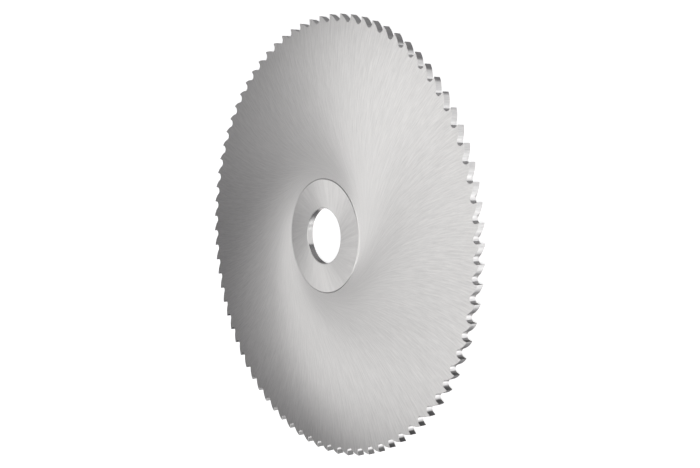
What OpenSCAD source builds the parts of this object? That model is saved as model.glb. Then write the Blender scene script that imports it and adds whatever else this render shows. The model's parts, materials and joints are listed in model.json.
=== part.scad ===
// Metal slitting saw: one disc of high-speed steel, ground all over, with a plain round bore,
// a raised flat hub on each side, hollow-ground sides and curved-back teeth round the rim.
// It lies on its lower face: +Z runs along the bore's axis, and the origin is the bore's centre on that face.
// Seen from above, the cutting faces look counter-clockwise. Lengths are in millimetres, angles in degrees.

/* [Disc] */
// Diameter over the tooth tips
outside_d = 250; // [200:5:315]
// Thickness over the hub faces and over the tooth tips
thickness = 4; // [3:0.5:6]
// Depth of the hollow grind on each side, where it meets the hub
hollow_depth = 0.4; // [0.1:0.05:0.8]

/* [Bore and hub] */
// Diameter of the bore
bore_d = 32; // [22:1:40]
// Chamfer on both edges of the bore
bore_chamfer = 0.2; // [0.1:0.1:1]
// Diameter of the flat hub that the clamping collars seat on
hub_d = 65; // [50:1:90]
// Radius of the ground corner where the hub rises from the hollow, at least the hollow's depth
hub_corner_r = 0.6; // [0.4:0.1:1.5]

/* [Teeth] */
// Number of teeth
tooth_count = 80; // [64:4:100]
// Depth of the gullets below the circle of the tips
tooth_depth = 4.3; // [3.5:0.1:5.5]
// Rake of the cutting faces, positive where they are undercut
rake_angle = 8; // [0:1:15]
// Radius of the gullet floors
gullet_r = 2.2; // [1.6:0.1:2.6]
// Radius of the convex tooth backs
back_r = 12; // [9:0.5:20]

/* [Hidden] */
$fn = 96;

steel_colour = [0.76, 0.77, 0.78];

// Metal that the blank has outside the tips, which the gullets then cut away
blank_allowance = 1;
// Distance by which curves run into each other, so that they cross and don't just touch
overlap = 0.01;
// Length by which a cutter runs out of both sides of the disc
runout = 1;

tip_r = outside_d / 2;
bore_r = bore_d / 2;
hub_r = hub_d / 2;
blank_r = tip_r + blank_allowance;
pitch = 360 / tooth_count;

// The corner's arc runs from the edge of the hub's flat down to the hollow
corner_r = max(hub_corner_r, hollow_depth);
corner_height = corner_r - hollow_depth - overlap;
corner_run = sqrt(corner_r * corner_r - corner_height * corner_height);
foot_r = hub_r + corner_run;

// The sides fall from the full thickness at the tips to the hollow's depth at the hub's foot
side_slope = hollow_depth / (tip_r - foot_r);
blank_flare = side_slope * blank_allowance;

// Unit vector at an angle from +X
function heading(angle) = [cos(angle), sin(angle)];

// Point at distance ra from a and rb from b, on the left of the way from a to b
function meeting_point(a, ra, b, rb) =
    let (
        across = b - a,
        gap = norm(across),
        along = (gap * gap + ra * ra - rb * rb) / (2 * gap),
        aside = sqrt(ra * ra - along * along),
        unit = across / gap
    )
    a + along * unit + aside * [-unit.y, unit.x];

// One gullet, for the tooth whose tip lies on +X: the next tooth's tip is one pitch further on.
// The gullet circle touches the cutting face and reaches down to the tooth depth.
tip = [tip_r, 0];
next_tip = tip_r * heading(pitch);
gullet_centre_r = tip_r - tooth_depth + gullet_r;
gullet_offset = gullet_r - overlap;
gullet_angle = rake_angle + asin((gullet_offset - tip_r * sin(rake_angle)) / gullet_centre_r);
gullet_centre = gullet_centre_r * heading(gullet_angle);
face_foot = gullet_centre + gullet_offset * [sin(rake_angle), -cos(rake_angle)];

// The next tooth's back is an arc through its tip that runs smoothly into the gullet circle
back_centre = meeting_point(gullet_centre, gullet_r + back_r - overlap, next_tip, back_r);
back_angle = atan2(back_centre.y, back_centre.x);

// The cutter's outer corners lie so far out that the edge between them clears the blank
far_r = blank_r / cos(back_angle / 2) + blank_allowance;

// Outline of one gullet's cutter: down the cutting face, round the gullet and up the next tooth's back
module gullet_outline() {
    difference() {
        union() {
            translate(gullet_centre)
                circle(r = gullet_r);
            polygon([
                tip + (far_r - tip_r) * heading(rake_angle),
                face_foot,
                gullet_centre,
                back_centre,
                far_r * heading(back_angle)
            ]);
        }
        translate(back_centre)
            circle(r = back_r);
    }
}

// Half section of the ground blank, from the chamfered bore out past the tips
module blank_section() {
    difference() {
        polygon([
            [bore_r, bore_chamfer],
            [bore_r + bore_chamfer, 0],
            [foot_r, 0],
            [foot_r, hollow_depth],
            [blank_r, -blank_flare],
            [blank_r, thickness + blank_flare],
            [foot_r, thickness - hollow_depth],
            [foot_r, thickness],
            [bore_r + bore_chamfer, thickness],
            [bore_r, thickness - bore_chamfer]
        ]);
        for (corner_z = [-corner_height, thickness + corner_height])
            translate([foot_r, corner_z])
                circle(r = corner_r);
    }
}

// The saw: the ground blank with a gullet cut in front of every tooth
module saw_blade() {
    color(steel_colour)
        difference() {
            rotate_extrude()
                blank_section();
            for (tooth = [0 : tooth_count - 1])
                rotate([0, 0, tooth * pitch])
                    translate([0, 0, -runout])
                        linear_extrude(height = thickness + 2 * runout)
                            gullet_outline();
        }
}

saw_blade();
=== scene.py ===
"""Dresses a metal slitting saw: a bright steel disc, ground all over, with curved-back teeth.

The saw lies flat on its lower hub. Its visible mesh is worked out from the tooth form and the section
of the ground disc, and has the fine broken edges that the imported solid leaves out. Every surface has its
own ground finish, which stretches the light one way.
Lengths are in metres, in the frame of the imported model. The finishes measure in millimetres instead.
"""
import json
import logging
import math
from dataclasses import dataclass, field
from enum import IntEnum

import bpy
import numpy as np
from mathutils import Matrix, Vector


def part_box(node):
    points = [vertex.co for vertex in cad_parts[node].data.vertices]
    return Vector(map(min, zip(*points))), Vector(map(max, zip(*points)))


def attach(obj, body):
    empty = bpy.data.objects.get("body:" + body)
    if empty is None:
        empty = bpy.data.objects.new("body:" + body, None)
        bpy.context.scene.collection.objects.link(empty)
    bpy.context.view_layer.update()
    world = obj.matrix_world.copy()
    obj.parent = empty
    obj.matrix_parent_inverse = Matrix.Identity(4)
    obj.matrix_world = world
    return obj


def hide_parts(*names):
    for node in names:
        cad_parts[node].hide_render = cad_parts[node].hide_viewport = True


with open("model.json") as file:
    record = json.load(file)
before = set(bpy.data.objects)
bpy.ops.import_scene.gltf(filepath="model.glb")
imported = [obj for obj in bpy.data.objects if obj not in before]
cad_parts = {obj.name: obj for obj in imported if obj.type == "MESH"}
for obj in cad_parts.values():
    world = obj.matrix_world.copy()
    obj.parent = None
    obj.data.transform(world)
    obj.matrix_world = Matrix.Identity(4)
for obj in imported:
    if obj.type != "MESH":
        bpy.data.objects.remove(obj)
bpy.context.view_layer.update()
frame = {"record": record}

MM = 0.001
NOISE_SPAN = (0.25, 0.75)
UPWARD = (0.0, 0.0, 1.0)
log = logging.getLogger("slitting_saw")


def turned(points: np.ndarray, angles: np.ndarray) -> np.ndarray:
    """Turns flat points about the origin, once for each angle.

    Args:
        points: Points in the plane, shape (n, 2).
        angles: Angles in radians, shape (m,).

    Returns:
        The turned points, shape (m, n, 2): each is the point times the turn's cosine and sine.
    """
    cos, sin = np.cos(angles)[:, None], np.sin(angles)[:, None]
    x, y = points[:, 0], points[:, 1]
    return np.stack([cos * x - sin * y, sin * x + cos * y], axis=-1)


def heading(angle: float) -> np.ndarray:
    """Gives the unit vector at an angle from +X, in the plane."""
    return np.array([math.cos(angle), math.sin(angle)])


def arc(centre: np.ndarray, radius: float, start: np.ndarray, end: np.ndarray, steps: int) -> np.ndarray:
    """Walks a circular arc the short way round between two directions.

    Args:
        centre: Centre of the arc.
        radius: Radius of the arc.
        start: Point in whose direction the arc starts.
        end: Point in whose direction the arc ends.
        steps: Number of equal steps.

    Returns:
        Points at equal angles, the start included and the end left out, shape (steps, 2).
    """
    first = math.atan2(*(start - centre)[::-1])
    sweep = math.remainder(math.atan2(*(end - centre)[::-1]) - first, math.tau)
    angles = first + sweep * np.arange(steps) / steps
    return centre + radius * np.column_stack([np.cos(angles), np.sin(angles)])


@dataclass(frozen=True)
class ToothForm:
    """One tooth's profile: a straight cutting face, a round gullet and a convex back.

    The back is an arc through the next tooth's tip that touches the gullet circle.
    """

    tip_r: float
    count: int = 80
    depth: float = 4.3 * MM
    rake: float = math.radians(8.0)
    gullet_r: float = 2.2 * MM
    back_r: float = 12.0 * MM
    face_steps: int = 4
    gullet_steps: int = 14
    back_steps: int = 30

    @property
    def steps(self) -> int:
        """Number of outline points in one pitch."""
        return self.face_steps + self.gullet_steps + self.back_steps

    @property
    def pitch(self) -> float:
        """Angle from one tip to the next."""
        return math.tau / self.count

    def gullet_centre(self) -> np.ndarray:
        """Finds the gullet circle's centre.

        Returns:
            The point at the circle's radius from the cutting face whose circle reaches the full depth.
        """
        centre_r = self.tip_r - self.depth + self.gullet_r
        offset = (self.gullet_r - self.tip_r * math.sin(self.rake)) / centre_r
        return centre_r * heading(self.rake + math.asin(offset))

    def back_centre(self, gullet: np.ndarray, next_tip: np.ndarray) -> np.ndarray:
        """Finds the centre of the tooth's back.

        Args:
            gullet: Centre of the gullet circle.
            next_tip: Tip that the back rises to.

        Returns:
            The point one back radius from the tip, and both radii together from the gullet's centre.
        """
        across = next_tip - gullet
        gap = float(np.hypot(*across))
        reach = self.gullet_r + self.back_r
        along = (gap**2 + reach**2 - self.back_r**2) / (2 * gap)
        aside = math.sqrt(reach**2 - along**2)
        unit = across / gap
        return gullet + along * unit + aside * np.array([-unit[1], unit[0]])

    def outline(self) -> np.ndarray:
        """Walks the whole rim counter-clockwise.

        Returns:
            Points of every tooth, from its tip round the gullet to the next tip, shape (count * steps, 2).
        """
        tip = np.array([self.tip_r, 0.0])
        next_tip = self.tip_r * heading(self.pitch)
        gullet = self.gullet_centre()
        back = self.back_centre(gullet, next_tip)
        foot = gullet + self.gullet_r * np.array([math.sin(self.rake), -math.cos(self.rake)])
        share = np.arange(self.face_steps)[:, None] / self.face_steps
        one = np.vstack([
            tip + share * (foot - tip),
            arc(gullet, self.gullet_r, foot, back, self.gullet_steps),
            arc(back, self.back_r, gullet, next_tip, self.back_steps),
        ])
        return turned(one, self.pitch * np.arange(self.count)).reshape(-1, 2)

    def broken_edge(self, outline: np.ndarray, width: float) -> np.ndarray:
        """Moves the outline into the metal, for the fine bevel along the teeth.

        Args:
            outline: The rim's points, counter-clockwise.
            width: Width of the bevel.

        Returns:
            Each point moved along the bisector of its two edges, so that both edges move by the width.
        """
        ahead = np.roll(outline, -1, axis=0) - outline
        ahead /= np.linalg.norm(ahead, axis=1, keepdims=True)
        inward = np.column_stack([-ahead[:, 1], ahead[:, 0]])
        both = inward + np.roll(inward, 1, axis=0)
        return outline + width * 2 * both / np.sum(both**2, axis=1, keepdims=True)


class Surface(IntEnum):
    """The saw's surfaces, each with its own ground finish. The value is the material slot's place."""

    SIDE = 0
    HUB = 1
    CORNER = 2
    BORE = 3
    TOOTH = 4
    EDGE = 5


@dataclass
class MeshParts:
    """Vertices and faces gathered for one mesh, with the surface that each face belongs to."""

    points: list[np.ndarray] = field(default_factory=list)
    faces: list[np.ndarray] = field(default_factory=list)
    surfaces: list[np.ndarray] = field(default_factory=list)
    total: int = 0
    sharp_angle: float = math.radians(15.0)

    def add_points(self, points: np.ndarray) -> np.ndarray:
        """Adds a block of points.

        Args:
            points: Points in space, with any leading shape and 3 last.

        Returns:
            The points' numbers in the mesh, in the leading shape.
        """
        numbers = self.total + np.arange(points[..., 0].size).reshape(points.shape[:-1])
        self.points.append(points.reshape(-1, 3))
        self.total += numbers.size
        return numbers

    def add_faces(self, corners: np.ndarray, surface: Surface) -> None:
        """Adds faces that all have as many corners, given as point numbers of shape (faces, corners)."""
        self.faces.append(corners)
        self.surfaces.append(np.full(len(corners), surface, dtype=np.int32))

    def add_band(self, outer: np.ndarray, inner: np.ndarray, surface: Surface) -> None:
        """Adds a band of quads between two closed rings of point numbers."""
        corners = np.column_stack([outer, np.roll(outer, -1), np.roll(inner, -1), inner])
        self.add_faces(corners, surface)

    def to_mesh(self, name: str) -> bpy.types.Mesh:
        """Writes the gathered arrays into a new mesh.

        Args:
            name: The mesh's name.

        Returns:
            The mesh, smooth but for its sharp edges.
        """
        corners = np.concatenate([block.ravel() for block in self.faces]).astype(np.int32)
        sizes = np.concatenate([np.full(len(block), block.shape[1]) for block in self.faces])
        mesh = bpy.data.meshes.new(name)
        mesh.vertices.add(self.total)
        mesh.vertices.foreach_set("co", np.vstack(self.points).astype(np.float32).ravel())
        mesh.loops.add(len(corners))
        mesh.loops.foreach_set("vertex_index", corners)
        mesh.polygons.add(len(sizes))
        mesh.polygons.foreach_set("loop_start", (np.cumsum(sizes) - sizes).astype(np.int32))
        mesh.polygons.foreach_set("material_index", np.concatenate(self.surfaces))
        mesh.update(calc_edges=True)
        mesh.validate()
        mesh.shade_smooth()
        mesh.set_sharp_from_angle(angle=self.sharp_angle)
        return mesh


@dataclass
class SawBlade:
    """The one-piece saw: a ground disc with hubs, hollow sides, a chamfered bore and a toothed rim."""

    tip_r: float
    thickness: float
    bore_r: float
    hub_r: float = 32.5 * MM
    hollow_depth: float = 0.4 * MM
    corner_r: float = 0.6 * MM
    bore_chamfer: float = 0.2 * MM
    edge: float = 0.08 * MM
    web_r: float = 119.6 * MM
    web_turn: float = math.radians(-0.5)
    web_steps: int = 4
    corner_steps: int = 6
    side_rings: int = 8
    hub_rings: int = 4
    node: str = "saw_blade"
    material_slot: str = "ground_steel"

    def __post_init__(self) -> None:
        """Works out the tooth form and the foot of the hub."""
        self.teeth = ToothForm(self.tip_r)
        self.corner_height = self.corner_r - self.hollow_depth
        self.foot_r = self.hub_r + math.sqrt(self.corner_r**2 - self.corner_height**2)

    def fall(self, radius: np.ndarray) -> np.ndarray:
        """Gives the hollow side's depth under the full thickness: most at the foot, nothing at the tips."""
        return self.hollow_depth * (self.tip_r - radius) / (self.tip_r - self.foot_r)

    def half_section(self) -> tuple[np.ndarray, list[Surface]]:
        """Walks the upper half of the section, from the web's outer ring in to the bore.

        Returns:
            Radius and fall below the upper hub face, shape (n, 2), and the surface between each two points.
        """
        side_r = np.geomspace(self.web_r, self.foot_r + self.edge, self.side_rings)
        side = np.column_stack([side_r, self.fall(side_r)])
        low = math.acos(self.corner_height / self.corner_r)
        bend = np.linspace(0.0, low, self.corner_steps + 1)
        corner = np.column_stack([
            self.foot_r - self.corner_r * np.sin(bend),
            self.corner_r * np.cos(bend) - self.corner_height,
        ])
        corner[-1, 1] += self.edge
        hub_end = self.bore_r + self.bore_chamfer + self.edge
        hub_r = np.linspace(self.hub_r - self.edge, hub_end, self.hub_rings)
        hub = np.column_stack([hub_r, np.zeros_like(hub_r)])
        bevel = self.edge / math.sqrt(2.0)
        bore = np.array([
            [self.bore_r + self.bore_chamfer - bevel, bevel],
            [self.bore_r + bevel, self.bore_chamfer - bevel],
            [self.bore_r, self.bore_chamfer + self.edge],
        ])
        kinds = [Surface.SIDE] * self.side_rings + [Surface.CORNER] * self.corner_steps + [Surface.EDGE]
        kinds += [Surface.HUB] * (self.hub_rings - 1) + [Surface.EDGE, Surface.BORE, Surface.EDGE]
        return np.vstack([side, corner, hub, bore]), kinds

    def add_disc(self, parts: MeshParts) -> tuple[np.ndarray, np.ndarray]:
        """Turns the section round the bore's axis.

        Args:
            parts: Mesh that the disc is added to.

        Returns:
            Point numbers of the web's outer ring, on the upper and the lower side.
        """
        section, kinds = self.half_section()
        steps = self.teeth.count * self.web_steps
        angles = self.web_turn + math.tau * np.arange(steps) / steps
        upper = np.column_stack([section[:, 0], self.thickness - section[:, 1]])
        lower = section[::-1]
        profile = np.vstack([upper, lower])
        kinds = kinds + [Surface.BORE] + kinds[::-1]
        radius, height = profile[:, 0, None], profile[:, 1, None]
        x, y, z = np.broadcast_arrays(radius * np.cos(angles), radius * np.sin(angles), height)
        numbers = parts.add_points(np.stack([x, y, z], axis=-1))
        for place, kind in enumerate(kinds):
            parts.add_band(numbers[place], numbers[place + 1], kind)
        return numbers[0], numbers[-1]

    def add_rim(self, parts: MeshParts, upper_web: np.ndarray, lower_web: np.ndarray) -> None:
        """Adds the toothed rim: walls along the outline, broken edges, and the sides of the teeth.

        Args:
            parts: Mesh that the rim is added to.
            upper_web: Point numbers of the web's outer ring on the upper side.
            lower_web: The same on the lower side.
        """
        wall = self.teeth.outline()
        inset = self.teeth.broken_edge(wall, self.edge)
        wall_fall = self.fall(np.hypot(*wall.T)) + self.edge
        inset_fall = self.fall(np.hypot(*inset.T))
        heights = (
            (inset, self.thickness - inset_fall),
            (wall, self.thickness - wall_fall),
            (wall, wall_fall),
            (inset, inset_fall),
        )
        rings = [parts.add_points(np.column_stack([flat, height])) for flat, height in heights]
        kinds = (Surface.EDGE, Surface.TOOTH, Surface.EDGE)
        for upper, lower, kind in zip(rings, rings[1:], kinds):
            parts.add_band(lower, upper, kind)
        span = self.teeth.steps // self.web_steps
        places = np.arange(len(upper_web))
        rim = (places[:, None] * span + np.arange(span + 1)) % len(wall)
        web = np.column_stack([np.roll(places, -1), places])
        upper_faces = np.column_stack([rings[0][rim], upper_web[web]])
        lower_faces = np.column_stack([rings[3][rim], lower_web[web]])
        parts.add_faces(upper_faces, Surface.SIDE)
        parts.add_faces(lower_faces[:, ::-1], Surface.SIDE)

    def build(self, finishes: dict[Surface, bpy.types.Material]) -> bpy.types.Object:
        """Makes the saw's object and puts it in the frame.

        Args:
            finishes: Material of each surface.

        Returns:
            The object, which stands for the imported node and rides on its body.
        """
        parts = MeshParts()
        upper_web, lower_web = self.add_disc(parts)
        self.add_rim(parts, upper_web, lower_web)
        mesh = parts.to_mesh("ground_saw_blade")
        for surface in Surface:
            mesh.materials.append(finishes[surface])
        blade = bpy.data.objects.new("ground_saw_blade", mesh)
        bpy.context.scene.collection.objects.link(blade)
        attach(blade, "root")
        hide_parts(self.node)
        return blade


class NodeSheet:
    """A material's node tree, with short calls for the nodes that the finishes use."""

    def __init__(self, name: str) -> None:
        """Starts an empty material of that name."""
        self.material = bpy.data.materials.new(name)
        self.material.use_nodes = True
        self.tree = self.material.node_tree
        self.tree.nodes.clear()

    def node(self, kind: str, **settings: object) -> bpy.types.Node:
        """Adds a node of a kind and sets its properties."""
        made = self.tree.nodes.new(kind)
        for name, value in settings.items():
            setattr(made, name, value)
        return made

    def feed(self, socket: bpy.types.NodeSocket, value: object) -> None:
        """Links an output to a socket, or sets the socket to a plain value."""
        if isinstance(value, bpy.types.NodeSocket):
            self.tree.links.new(value, socket)
        else:
            socket.default_value = value

    def math(self, operation: str, *values: object) -> bpy.types.NodeSocket:
        """Adds a Math node on numbers or outputs and returns its output."""
        made = self.node("ShaderNodeMath", operation=operation)
        for socket, value in zip(made.inputs, values):
            self.feed(socket, value)
        return made.outputs[0]

    def vector(self, operation: str, *values: object) -> bpy.types.Node:
        """Adds a Vector Math node on vectors or outputs and returns the node."""
        made = self.node("ShaderNodeVectorMath", operation=operation)
        for socket, value in zip(made.inputs, values):
            self.feed(socket, value)
        return made

    def scaled(self, vector: object, factor: object) -> bpy.types.NodeSocket:
        """Multiplies a vector by a number and returns the product."""
        made = self.vector("SCALE", vector)
        self.feed(made.inputs["Scale"], factor)
        return made.outputs[0]

    def joined(self, x: object, y: object, z: object) -> bpy.types.NodeSocket:
        """Makes a vector of three numbers or outputs."""
        made = self.node("ShaderNodeCombineXYZ")
        for socket, value in zip(made.inputs, (x, y, z)):
            self.feed(socket, value)
        return made.outputs[0]

    def noise(self, vector: object, detail: float, grain: float) -> bpy.types.NodeSocket:
        """Adds a Noise texture, one unit to a swell, and returns its value, about 0.5 on average."""
        made = self.node("ShaderNodeTexNoise")
        self.feed(made.inputs["Vector"], vector)
        made.inputs["Scale"].default_value = 1.0
        made.inputs["Detail"].default_value = detail
        made.inputs["Roughness"].default_value = grain
        return made.outputs["Fac"]

    def ramp(
        self, value: object, span: tuple[float, float], ends: tuple[float, float], way: str = "SMOOTHSTEP"
    ) -> bpy.types.NodeSocket:
        """Maps a span of values to two ends, smoothly by default, and holds the ends beyond it."""
        made = self.node("ShaderNodeMapRange", interpolation_type=way)
        made.inputs["From Min"].default_value, made.inputs["From Max"].default_value = span
        made.inputs["To Min"].default_value, made.inputs["To Max"].default_value = ends
        self.feed(made.inputs["Value"], value)
        return made.outputs[0]

    def spread(self, value: object, low: float, high: float) -> bpy.types.NodeSocket:
        """Maps most of a noise's range evenly to a low and a high value."""
        return self.ramp(value, NOISE_SPAN, (low, high), "LINEAR")


@dataclass
class PolarPlace:
    """Where a point lies on the disc: radius and height in millimetres, angle, ways out and round."""

    radius: bpy.types.NodeSocket
    angle: bpy.types.NodeSocket
    height: bpy.types.NodeSocket
    outward: bpy.types.NodeSocket
    around: bpy.types.NodeSocket

    @classmethod
    def on(cls, sheet: NodeSheet) -> "PolarPlace":
        """Works the place out from Object coordinates.

        Args:
            sheet: Material that the nodes are added to.

        Returns:
            The place's outputs.
        """
        coordinates = sheet.node("ShaderNodeTexCoord").outputs["Object"]
        flat = sheet.vector("MULTIPLY", coordinates, (1.0 / MM, 1.0 / MM, 0.0)).outputs[0]
        split = sheet.node("ShaderNodeSeparateXYZ")
        sheet.feed(split.inputs[0], coordinates)
        outward = sheet.vector("NORMALIZE", flat).outputs[0]
        return cls(
            radius=sheet.vector("LENGTH", flat).outputs["Value"],
            angle=sheet.math("ARCTAN2", split.outputs[1], split.outputs[0]),
            height=sheet.math("MULTIPLY", split.outputs[2], 1.0 / MM),
            outward=outward,
            around=sheet.vector("CROSS_PRODUCT", UPWARD, outward).outputs[0],
        )


@dataclass(frozen=True)
class GroundSteel:
    """Bright ground steel: how rough it is, how far it stretches the light, and how its lines vary.

    Fine and slow say how fast the noise changes from line to line and along a line.
    Rounding is the tangent of the angle by which an upright wall's shading is tipped upwards, so that
    the wall mirrors the room and not only the floor. Its mesh stays upright.
    """

    name: str
    colour: tuple[float, float, float] = (0.729, 0.72, 0.707)
    roughness: float = 0.287
    stretch: float = 0.778
    tone_range: float = 0.13
    rough_range: float = 0.003
    bump: float = 0.03
    bump_depth: float = 0.01 * MM
    rounding: float = 0.0
    fine: float = 6.0
    slow: float = 1.5
    detail: float = 3.0
    grain: float = 0.6

    def finish(
        self,
        sheet: NodeSheet,
        stretch_way: bpy.types.NodeSocket,
        lines: bpy.types.NodeSocket,
        shade: object = 1.0,
    ) -> bpy.types.Material:
        """Joins the lines and the way that light stretches to the steel's shader.

        Args:
            sheet: Material that holds the nodes.
            stretch_way: Direction along which light stretches.
            lines: Height of the ground lines, about 0.5 on average.
            shade: Number or output that the steel's colour is multiplied by, as painted shade.

        Returns:
            The finished material.
        """
        shader = sheet.node("ShaderNodeBsdfPrincipled")
        shader.inputs["Metallic"].default_value = 1.0
        shader.inputs["Anisotropic"].default_value = self.stretch
        tone = sheet.spread(lines, 1.0 - self.tone_range, 1.0 + self.tone_range)
        tone = sheet.math("MULTIPLY", tone, shade)
        sheet.feed(shader.inputs["Base Color"], sheet.scaled(self.colour, tone))
        rough = sheet.spread(lines, self.roughness + self.rough_range, self.roughness - self.rough_range)
        sheet.feed(shader.inputs["Roughness"], rough)
        sheet.feed(shader.inputs["Tangent"], stretch_way)
        bump = sheet.node("ShaderNodeBump")
        bump.inputs["Strength"].default_value = self.bump
        bump.inputs["Distance"].default_value = self.bump_depth
        sheet.feed(bump.inputs["Height"], lines)
        if self.rounding:
            facing = sheet.node("ShaderNodeNewGeometry").outputs["Normal"]
            tipped = sheet.vector("ADD", facing, (0.0, 0.0, self.rounding)).outputs[0]
            sheet.feed(bump.inputs["Normal"], sheet.vector("NORMALIZE", tipped).outputs[0])
        sheet.feed(shader.inputs["Normal"], bump.outputs[0])
        output = sheet.node("ShaderNodeOutputMaterial")
        sheet.feed(output.inputs["Surface"], shader.outputs[0])
        return sheet.material


@dataclass(frozen=True)
class CurvedGround(GroundSteel):
    """A face ground in lines that all have one shape, turned round the axis and mirrored on the lower face.

    Light stretches across the lines. Each line strays a little from that shape's direction, so that some
    lines catch the light and others don't.
    """

    fine: float = 130.0
    slow: float = 0.1
    grain: float = 0.8
    stray: float = 0.1
    mid_height: float = 2.0

    def lean(self, sheet: NodeSheet, radius: bpy.types.NodeSocket) -> bpy.types.NodeSocket:
        """Gives the tangent of a line's lean from the radius, counter-clockwise on the upper face."""
        raise NotImplementedError

    def sweep(self, sheet: NodeSheet, radius: bpy.types.NodeSocket) -> bpy.types.NodeSocket:
        """Gives the angle that a line has swept round the axis by the time it reaches a radius."""
        raise NotImplementedError

    def material(self) -> bpy.types.Material:
        """Makes the finish: noise that changes fast from line to line and slowly along each line.

        Returns:
            The material, whose light stretches across the lines.
        """
        sheet = NodeSheet(self.name)
        place = PolarPlace.on(sheet)
        side = sheet.math("SIGN", sheet.math("SUBTRACT", place.height, self.mid_height))
        swept = sheet.math("MULTIPLY", self.sweep(sheet, place.radius), side)
        start = sheet.math("SUBTRACT", place.angle, swept)
        x = sheet.math("MULTIPLY", sheet.math("COSINE", start), self.fine)
        y = sheet.math("MULTIPLY", sheet.math("SINE", start), self.fine)
        z = sheet.math("MULTIPLY", place.radius, self.slow)
        lines = sheet.noise(sheet.joined(x, y, z), self.detail, self.grain)
        others = sheet.noise(sheet.joined(y, x, z), self.detail, self.grain)
        lean = sheet.math("MULTIPLY", self.lean(sheet, place.radius), side)
        lean = sheet.math("ADD", lean, sheet.spread(others, -self.stray, self.stray))
        across = sheet.vector("SUBTRACT", place.around, sheet.scaled(place.outward, lean)).outputs[0]
        across = sheet.vector("NORMALIZE", across).outputs[0]
        return self.finish(sheet, across, lines)


@dataclass(frozen=True)
class SweptGround(CurvedGround):
    """Sides with lines that leave the hub almost along its edge and run out nearly straight to the teeth.

    Such a line's angle is -2 p / sqrt(r - r0) - u r at the radius r, for its pull p, inner radius r0 and
    unbending u. The tangent of its lean is r times the slope of that angle.
    """

    pull: float = 2.15
    inner_r: float = 30.0
    unbending: float = 0.0027

    def lean(self, sheet: NodeSheet, radius: bpy.types.NodeSocket) -> bpy.types.NodeSocket:
        """Gives r (p / (r - r0)^1.5 - u)."""
        gap = sheet.math("POWER", sheet.math("SUBTRACT", radius, self.inner_r), 1.5)
        slope = sheet.math("SUBTRACT", sheet.math("DIVIDE", self.pull, gap), self.unbending)
        return sheet.math("MULTIPLY", radius, slope)

    def sweep(self, sheet: NodeSheet, radius: bpy.types.NodeSocket) -> bpy.types.NodeSocket:
        """Gives -2 p / sqrt(r - r0) - u r."""
        root = sheet.math("SQRT", sheet.math("SUBTRACT", radius, self.inner_r))
        bent = sheet.math("DIVIDE", -2.0 * self.pull, root)
        return sheet.math("SUBTRACT", bent, sheet.math("MULTIPLY", radius, self.unbending))


@dataclass(frozen=True)
class OffsetGround(CurvedGround):
    """Hub faces with straight lines that pass the axis at a distance."""

    fine: float = 12.0
    slow: float = 0.05
    detail: float = 4.0
    offset: float = 7.4

    def lean(self, sheet: NodeSheet, radius: bpy.types.NodeSocket) -> bpy.types.NodeSocket:
        """Gives the tangent of the angle whose sine is the offset over the radius."""
        sine = sheet.math("DIVIDE", self.offset, radius)
        return sheet.math("TANGENT", sheet.math("ARCSINE", sine))

    def sweep(self, sheet: NodeSheet, radius: bpy.types.NodeSocket) -> bpy.types.NodeSocket:
        """Gives the angle whose cosine is the offset over the radius."""
        return sheet.math("ARCCOSINE", sheet.math("DIVIDE", self.offset, radius))


@dataclass(frozen=True)
class Turned(GroundSteel):
    """Round walls with lines that run round the axis, so that light stretches along the axis."""

    def material(self) -> bpy.types.Material:
        """Makes the finish: noise that changes fast along the axis and slowly round it.

        Returns:
            The material.
        """
        sheet = NodeSheet(self.name)
        place = PolarPlace.on(sheet)
        flat = sheet.scaled(place.outward, self.slow)
        lift = sheet.joined(0.0, 0.0, sheet.math("MULTIPLY", place.height, self.fine))
        lines = sheet.noise(sheet.vector("ADD", flat, lift).outputs[0], self.detail, self.grain)
        return self.finish(sheet, sheet.joined(*UPWARD), lines)


@dataclass(frozen=True)
class GulletGround(GroundSteel):
    """Tooth walls with fine marks across the rim: brightest in the gullets, darkest on the cutting faces.

    Light stretches across the rim too. Its colour carries painted shade: walls above the gullet's floor
    take the back's painted shade, and those that look forward above the gullet's round take the cutting
    face's painted shade as well. Each shade sets in over a span: of radius in millimetres, or of how much
    of the wall's normal looks forward.
    """

    fine: float = 1.6
    slow: float = 0.15
    painted_face_shade: float = 0.36
    painted_back_shade: float = 0.8
    forward_span: tuple[float, float] = (0.7, 0.9)
    face_span: tuple[float, float] = (121.9, 123.1)
    back_span: tuple[float, float] = (121.2, 122.0)

    def material(self) -> bpy.types.Material:
        """Makes the finish: marks straight across the rim, and shades by the wall's place and facing.

        Returns:
            The material.
        """
        sheet = NodeSheet(self.name)
        place = PolarPlace.on(sheet)
        flat = sheet.scaled(place.outward, sheet.math("MULTIPLY", place.radius, self.fine))
        lift = sheet.joined(0.0, 0.0, sheet.math("MULTIPLY", place.height, self.slow))
        lines = sheet.noise(sheet.vector("ADD", flat, lift).outputs[0], self.detail, self.grain)
        facing = sheet.node("ShaderNodeTexCoord").outputs["Normal"]
        forward = sheet.vector("DOT_PRODUCT", facing, place.around).outputs["Value"]
        looks_forward = sheet.ramp(forward, self.forward_span, (0.0, 1.0))
        above_round = sheet.ramp(place.radius, self.face_span, (0.0, 1.0))
        share = sheet.math("MULTIPLY", looks_forward, above_round)
        # Painted shade: the cutting faces and the teeth's backs are darkened against the bright gullet
        # floors.
        face = sheet.ramp(share, (0.0, 1.0), (1.0, self.painted_face_shade))
        back = sheet.ramp(place.radius, self.back_span, (1.0, self.painted_back_shade))
        return self.finish(sheet, sheet.joined(*UPWARD), lines, sheet.math("MULTIPLY", face, back))


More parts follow.
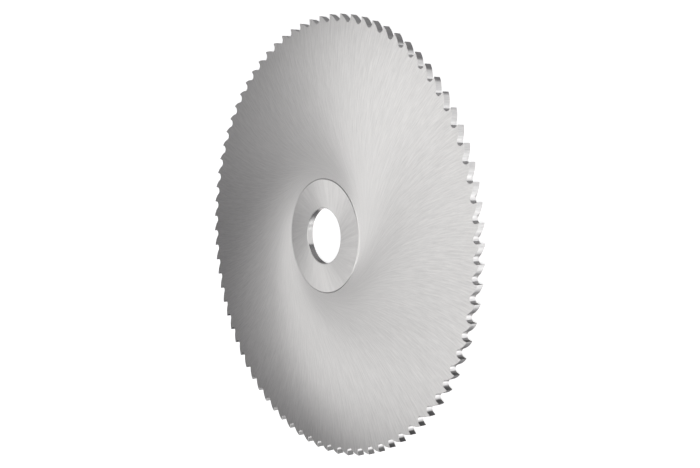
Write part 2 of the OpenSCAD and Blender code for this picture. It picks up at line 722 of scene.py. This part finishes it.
@dataclass(frozen=True)
class Floor:
    """A plain white floor that shows the saw's soft shadow."""

    half_width: float = 30.0
    sink: float = 0.05 * MM
    colour: tuple[float, float, float, float] = (0.9, 0.9, 0.9, 1.0)
    glow: float = 0.55

    def build(self) -> bpy.types.Object:
        """Makes the floor.

        Returns:
            The floor's object.
        """
        w = self.half_width
        mesh = bpy.data.meshes.new("floor")
        corners = [(-w, -w, -self.sink), (w, -w, -self.sink), (w, w, -self.sink), (-w, w, -self.sink)]
        mesh.from_pydata(corners, [], [(0, 1, 2, 3)])
        floor = bpy.data.objects.new("floor", mesh)
        bpy.context.scene.collection.objects.link(floor)
        mesh.materials.append(self.material())
        return floor

    def material(self) -> bpy.types.Material:
        """Makes the floor's material: matt white, lifted to white where the camera or the steel sees it.

        Returns:
            The material.
        """
        sheet = NodeSheet("white_floor")
        matt = sheet.node("ShaderNodeBsdfDiffuse")
        matt.inputs["Color"].default_value = self.colour
        rays = sheet.node("ShaderNodeLightPath").outputs
        seen = sheet.math("MAXIMUM", rays["Is Camera Ray"], rays["Is Glossy Ray"])
        seen = sheet.math("MAXIMUM", seen, rays["Is Transmission Ray"])
        lift = sheet.node("ShaderNodeEmission")
        sheet.feed(lift.inputs["Strength"], sheet.math("MULTIPLY", seen, self.glow))
        both = sheet.node("ShaderNodeAddShader")
        sheet.feed(both.inputs[0], matt.outputs[0])
        sheet.feed(both.inputs[1], lift.outputs[0])
        output = sheet.node("ShaderNodeOutputMaterial")
        sheet.feed(output.inputs["Surface"], both.outputs[0])
        return sheet.material


@dataclass(frozen=True)
class Softbox:
    """A soft studio panel that faces the saw: where it stands, how large it looks and how bright it is.

    The heading, the elevation and the size are angles in degrees, as seen from the saw.
    """

    name: str
    heading: float
    elevation: float
    width: float
    height: float
    radiance: float
    distance: float = 12.0

    def build(self) -> bpy.types.Object:
        """Makes the panel as an area lamp.

        Returns:
            The lamp's object. Its power is the radiance times pi times the panel's area.
        """
        lamp = bpy.data.lights.new(self.name, "AREA")
        lamp.shape = "RECTANGLE"
        lamp.size = 2 * self.distance * math.tan(math.radians(self.width) / 2)
        lamp.size_y = 2 * self.distance * math.tan(math.radians(self.height) / 2)
        lamp.energy = self.radiance * math.pi * lamp.size * lamp.size_y
        rise = math.radians(self.elevation)
        out = Vector((*heading(math.radians(self.heading)) * math.cos(rise), math.sin(rise)))
        panel = bpy.data.objects.new(self.name, lamp)
        panel.location = out * self.distance
        panel.rotation_euler = out.to_track_quat("Z", "Y").to_euler()
        bpy.context.scene.collection.objects.link(panel)
        return panel


@dataclass(frozen=True)
class Viewpoint:
    """The photograph's camera, which looks down on the lying saw, with its +Y side up in the picture."""

    heading: float = math.radians(3.62)
    elevation: float = math.radians(37.49)
    up_heading: float = math.radians(88.25)
    distance: float = 551.0 * MM
    aside: float = 13.65 * MM
    above: float = 1.02 * MM
    focal_pixels: float = 958.4
    image_width: int = 700
    sensor_width: float = 36.0
    nearest: float = 10.0 * MM
    farthest: float = 100.0

    def build(self, middle: Vector) -> bpy.types.Object:
        """Makes the camera and sets it as the scene's.

        Args:
            middle: Point that the angles and the distance are taken from.

        Returns:
            The camera's object.
        """
        back = Vector((*heading(self.heading) * math.cos(self.elevation), math.sin(self.elevation)))
        up = Vector((*heading(self.up_heading), 0.0))
        up = (up - up.dot(back) * back).normalized()
        right = up.cross(back)
        data = bpy.data.cameras.new("camera")
        data.sensor_width = self.sensor_width
        data.lens = self.focal_pixels / self.image_width * self.sensor_width
        data.clip_start = self.nearest
        data.clip_end = self.farthest
        camera = bpy.data.objects.new("camera", data)
        camera.matrix_world = Matrix.Translation(
            middle + back * self.distance + right * self.aside + up * self.above
        ) @ Matrix((right, up, back)).transposed().to_4x4()
        bpy.context.scene.collection.objects.link(camera)
        bpy.context.scene.camera = camera
        return camera


@dataclass(frozen=True)
class Studio:
    """Floor, panels and a dim even surround."""

    surround: float = 0.12
    tint: tuple[float, float, float, float] = (1.02, 1.0, 1.06, 1.0)
    floor: Floor = Floor()
    panels: tuple[Softbox, ...] = (
        Softbox("key_panel", heading=182.0, elevation=54.5, width=24.0, height=39.0, radiance=1.1),
        Softbox("key_strip", heading=186.5, elevation=57.0, width=20.5, height=12.0, radiance=0.9),
        Softbox("top_panel", heading=291.5, elevation=75.0, width=36.5, height=85.0, radiance=1.1),
        Softbox("front_panel", heading=0.0, elevation=38.0, width=56.0, height=56.0, radiance=0.8),
        Softbox("right_panel", heading=288.0, elevation=41.0, width=66.0, height=26.0, radiance=0.6),
        Softbox("low_panel", heading=315.0, elevation=18.0, width=50.0, height=16.0, radiance=0.4),
        Softbox("left_panel", heading=95.0, elevation=30.0, width=110.0, height=30.0, radiance=0.16),
        Softbox("back_panel", heading=226.0, elevation=32.0, width=34.0, height=34.0, radiance=0.15),
    )

    def build(self) -> None:
        """Makes the stage and sets the plain view transform."""
        scene = bpy.context.scene
        scene.view_settings.view_transform = "Standard"
        world = bpy.data.worlds.new("surround")
        world.use_nodes = True
        shade = world.node_tree.nodes["Background"]
        shade.inputs["Color"].default_value = self.tint
        shade.inputs["Strength"].default_value = self.surround
        scene.world = world
        self.floor.build()
        for panel in self.panels:
            panel.build()


def saw_finishes() -> dict[Surface, bpy.types.Material]:
    """Makes the finish of each of the saw's surfaces.

    Returns:
        One material for each surface.
    """
    # The bore's steel is painted a little darker and the teeth's much lighter than the sides': painted
    # shade in the bore and painted highlight on the teeth.
    painted_shade_bore_colour = (0.68, 0.672, 0.664)
    painted_highlight_tooth_colour = (0.9, 0.893, 0.885)
    finishes = {
        Surface.SIDE: SweptGround("ground_side"),
        Surface.HUB: OffsetGround("ground_hub", tone_range=0.1),
        Surface.CORNER: Turned("ground_corner", roughness=0.35),
        Surface.BORE: Turned("ground_bore", painted_shade_bore_colour, roughness=0.2, stretch=0.7, rounding=0.75),
        Surface.TOOTH: GulletGround(
            "ground_teeth", painted_highlight_tooth_colour, roughness=0.28, stretch=0.75, rounding=1.0
        ),
        Surface.EDGE: Turned("broken_edges", roughness=0.3, stretch=0.3),
    }
    return {surface: finish.material() for surface, finish in finishes.items()}


def main() -> None:
    """Builds the camera, the stage and the saw."""
    logging.basicConfig(level=logging.INFO)
    low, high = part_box("saw_blade")
    middle = (Vector(low) + Vector(high)) / 2
    camera = Viewpoint().build(middle)
    log.info("camera %s with a %.1f mm lens", camera.name, camera.data.lens)
    Studio().build()
    bore = next(mount for mount in frame["record"]["mounts"] if mount["name"] == "bore")
    bore_r = bore["dims"]["r_mm"] * MM
    saw = SawBlade(tip_r=(high[0] - low[0]) / 2, thickness=high[2] - low[2], bore_r=bore_r)
    blade = saw.build(saw_finishes())
    log.info("%s has %d faces", blade.name, len(blade.data.polygons))


if __name__ == "__main__":
    main()
